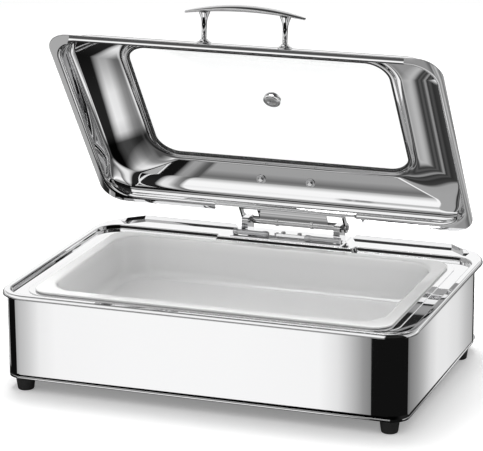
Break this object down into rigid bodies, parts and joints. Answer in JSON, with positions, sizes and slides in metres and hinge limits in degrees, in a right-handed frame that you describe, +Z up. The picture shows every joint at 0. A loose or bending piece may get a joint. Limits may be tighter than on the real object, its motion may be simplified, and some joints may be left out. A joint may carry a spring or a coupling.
{
  "type": "electric bain-marie",
  "caption": "Rectangular electric bain-marie with a mirror-steel case, a lift-out porcelain pan and a hinged lid that has a glass window, a vent and a bar handle.",
  "frame": {"origin": "on the counter under the middle of the case", "axes": "+X to the right as seen from the front, +Y to the back where the hinge is, +Z up; the lid stands open as pictured"},
  "size_m": [0.615, 0.438, 0.5383],
  "materials": {
    "polished_steel": "mirror polished",
    "satin_steel": "satin",
    "dark_steel": "heat darkened",
    "porcelain": "glazed white",
    "clear_glass": "clear toughened",
    "black_rubber": "matt",
    "black_seal": "matt",
    "black_plastic": "fine texture",
    "white_plastic": "matt",
    "rocker_red": "gloss",
    "lamp_lens": "gloss",
    "copper_tube": "bright",
    "brass_pins": "bright"
  },
  "bodies": {
    "case": {"base_plate": "satin_steel", "base_rails": "satin_steel", "base_screws": "satin_steel", "bulb_clip": "satin_steel", "clamp_screws": "satin_steel", "control_tray": "satin_steel", "damper_left": "satin_steel", "damper_right": "satin_steel", "element_straps": "satin_steel", "foot_front_left": "black_rubber", "foot_front_right": "black_rubber", "foot_rear_left": "black_rubber", "foot_rear_right": "black_rubber", "foot_screws": "satin_steel", "frame_brackets": "satin_steel", "heating_element": "dark_steel", "hinge_clamp": "polished_steel", "hinge_plate": "polished_steel", "hinge_tower_left": "polished_steel", "hinge_tower_right": "polished_steel", "inlet_pins": "brass_pins", "pilot_lamp": "lamp_lens", "power_inlet": "black_plastic", "skirt_corners": "polished_steel", "skirt_front": "polished_steel", "skirt_left": "polished_steel", "skirt_rear": "polished_steel", "skirt_right": "polished_steel", "switch_housing": "black_plastic", "terminal_block": "white_plastic", "terminal_screws": "brass_pins", "thermal_cutout": "black_plastic", "thermostat": "black_plastic", "thermostat_bulb": "copper_tube", "top_frame": "polished_steel", "tray_screws": "satin_steel", "water_pan": "satin_steel"},
    "food_pan": {"food_pan": "porcelain"},
    "lid": {"lid_shell": "polished_steel", "lid_glass": "clear_glass", "glass_seal": "black_seal", "vent_cap": "polished_steel", "vent_nut": "polished_steel", "handle_grip": "polished_steel", "handle_posts": "polished_steel", "handle_cups": "polished_steel", "handle_nuts": "satin_steel", "hinge_bracket": "polished_steel", "bracket_screws": "polished_steel", "bracket_washers": "satin_steel", "hinge_axle": "satin_steel", "hinge_sleeve": "polished_steel"},
    "dial": {"control_knob": "black_plastic", "thermostat_shaft": "satin_steel"},
    "rocker": {"switch_rocker": "rocker_red"}
  },
  "joints": [
    {"name": "lid_hinge", "type": "hinge", "parent": "case", "child": "lid", "pos_m": [0, 0.2065, 0.162], "axis": [-1, 0, 0], "range_deg": [-55, 35]},
    {"name": "pan_lift", "type": "slide", "parent": "case", "child": "food_pan", "axis": [0, 0, 1], "range_m": [0, 0.008]},
    {"name": "dial_turn", "type": "hinge", "parent": "case", "child": "dial", "pos_m": [0.17, 0.2, 0.08], "axis": [0, -1, 0], "range_deg": [0, 270]},
    {"name": "rocker_tilt", "type": "hinge", "parent": "case", "child": "rocker", "pos_m": [0.106, 0.197, 0.08], "axis": [-1, 0, 0], "range_deg": [0, 16]}
  ]
}
